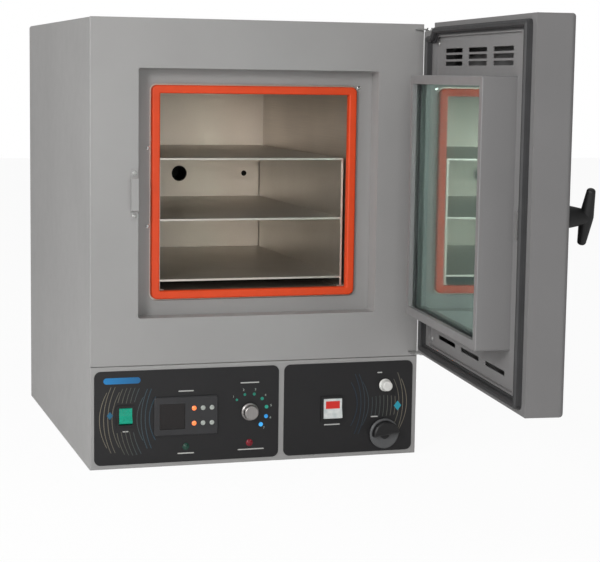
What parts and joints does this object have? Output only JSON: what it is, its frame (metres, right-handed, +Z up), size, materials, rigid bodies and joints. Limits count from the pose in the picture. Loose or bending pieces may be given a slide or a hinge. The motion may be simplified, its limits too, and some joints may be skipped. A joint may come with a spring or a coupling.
{
  "type": "vacuum oven",
  "caption": "Bench vacuum oven: painted case, recessed stainless chamber with folded shelves, orange door seal, swung-open glazed door and a black control panel.",
  "frame": {"origin": "centre of the base outline, on the bench", "axes": "+Z up, +Y from the front towards the back, +X from the latch side towards the hinge side"},
  "size_m": [0.5685, 1.1938, 0.68],
  "materials": {
    "case_paint": "satin powder coat",
    "door_paint": "satin powder coat",
    "overlay_black": "printed film",
    "stainless": "brushed",
    "zinc_steel": "zinc plated",
    "orange_rubber": "silicone",
    "dark_rubber": "satin",
    "wool": "fibre blanket",
    "heater_mat": "silicone mat",
    "copper_tube": "drawn",
    "brass": "machined",
    "black_plastic": "satin",
    "grey_plastic": "satin",
    "smoked_window": "gloss",
    "orange_lens": "lit lens",
    "green_lens": "lit lens",
    "red_lens": "lens",
    "white_plastic": "gloss",
    "clear_glass": "polished",
    "aluminium": "machined"
  },
  "bodies": {
    "oven": {"outer_case": "case_paint", "front_fascia": "case_paint", "control_housing": "case_paint", "temperature_overlay": "overlay_black", "vacuum_overlay": "overlay_black", "base_pan": "zinc_steel", "inner_deck": "zinc_steel", "back_panel": "case_paint", "case_screws": "zinc_steel", "chamber_body": "stainless", "chamber_gasket": "orange_rubber", "gasket_clips": "stainless", "rear_manifold": "stainless", "temperature_probe": "stainless", "heater_pads": "heater_mat", "chamber_supports": "zinc_steel", "insulation": "wool", "vacuum_tubes": "copper_tube", "vent_tubes": "copper_tube", "needle_valves": "brass", "rear_ports": "stainless", "mains_sockets": "black_plastic", "relay_module": "aluminium", "power_switch_body": "black_plastic", "pump_switch_body": "black_plastic", "controller_body": "grey_plastic", "display_window": "smoked_window", "controller_lamps": "orange_lens", "heat_lamp": "green_lens", "limit_lamp": "red_lens", "limit_thermostat": "zinc_steel", "latch_strike": "case_paint", "hinge_brackets": "zinc_steel", "fascia_screws": "zinc_steel"},
    "door": {"door_shell": "door_paint", "door_liner": "door_paint", "door_gasket": "dark_rubber", "window_box": "door_paint", "inner_glass": "clear_glass", "window_shroud": "grey_plastic", "outer_window": "clear_glass", "window_trim": "dark_rubber", "door_insulation": "wool", "liner_screws": "zinc_steel", "latch_sleeve": "black_plastic", "hinge_straps": "zinc_steel"},
    "handle": {"t_handle": "black_plastic", "latch_shaft": "zinc_steel"},
    "power_rocker": {"power_rocker": "green_lens"},
    "pump_rocker": {"pump_rocker": "white_plastic"},
    "limit_dial": {"limit_dial": "aluminium"},
    "vent_knob": {"vent_knob": "white_plastic"},
    "vacuum_knob": {"vacuum_knob": "black_plastic"},
    "key_lower_left": {"key_lower_left": "white_plastic"},
    "key_lower_right": {"key_lower_right": "white_plastic"},
    "key_upper_left": {"key_upper_left": "white_plastic"},
    "key_upper_right": {"key_upper_right": "white_plastic"},
    "shelf_lower": {"shelf_lower": "stainless"},
    "shelf_middle": {"shelf_middle": "stainless"},
    "shelf_upper": {"shelf_upper": "stainless"}
  },
  "joints": [
    {"name": "door_swing", "type": "hinge", "parent": "oven", "child": "door", "pos_m": [0.265, -0.3295, 0.418], "axis": [0, 0, 1], "range_deg": [-84, 76]},
    {"name": "handle_turn", "type": "hinge", "parent": "door", "child": "handle", "pos_m": [0.27559, -0.82381, 0.4225], "axis": [0.9945, -0.1045, 0], "range_deg": [0, 90]},
    {"name": "power_rocker_tilt", "type": "hinge", "parent": "oven", "child": "power_rocker", "pos_m": [-0.2085, -0.3038, 0.081], "axis": [1, 0, 0], "range_deg": [0, 14]},
    {"name": "pump_rocker_tilt", "type": "hinge", "parent": "oven", "child": "pump_rocker", "pos_m": [0.122, -0.3038, 0.0778], "axis": [1, 0, 0], "range_deg": [0, 14]},
    {"name": "limit_dial_turn", "type": "hinge", "parent": "oven", "child": "limit_dial", "pos_m": [-0.0135, -0.309, 0.08], "axis": [0, -1, 0], "range_deg": [-150, 150]},
    {"name": "vent_knob_turn", "type": "hinge", "parent": "oven", "child": "vent_knob", "pos_m": [0.2085, -0.309, 0.113], "axis": [0, -1, 0], "range_deg": [0, 360]},
    {"name": "vacuum_knob_turn", "type": "hinge", "parent": "oven", "child": "vacuum_knob", "pos_m": [0.208, -0.309, 0.035], "axis": [0, -1, 0], "range_deg": [0, 360]},
    {"name": "key_lower_left_press", "type": "slide", "parent": "oven", "child": "key_lower_left", "axis": [0, 1, 0], "range_m": [0, 0.0015], "stiffness_N_per_m": 300},
    {"name": "key_lower_right_press", "type": "slide", "parent": "oven", "child": "key_lower_right", "axis": [0, 1, 0], "range_m": [0, 0.0015], "stiffness_N_per_m": 300},
    {"name": "key_upper_left_press", "type": "slide", "parent": "oven", "child": "key_upper_left", "axis": [0, 1, 0], "range_m": [0, 0.0015], "stiffness_N_per_m": 300},
    {"name": "key_upper_right_press", "type": "slide", "parent": "oven", "child": "key_upper_right", "axis": [0, 1, 0], "range_m": [0, 0.0015], "stiffness_N_per_m": 300},
    {"name": "shelf_lower_slide", "type": "slide", "parent": "oven", "child": "shelf_lower", "axis": [0, -1, 0], "range_m": [0, 0.3]},
    {"name": "shelf_middle_slide", "type": "slide", "parent": "oven", "child": "shelf_middle", "axis": [0, -1, 0], "range_m": [0, 0.3]},
    {"name": "shelf_upper_slide", "type": "slide", "parent": "oven", "child": "shelf_upper", "axis": [0, -1, 0], "range_m": [0, 0.3]}
  ]
}
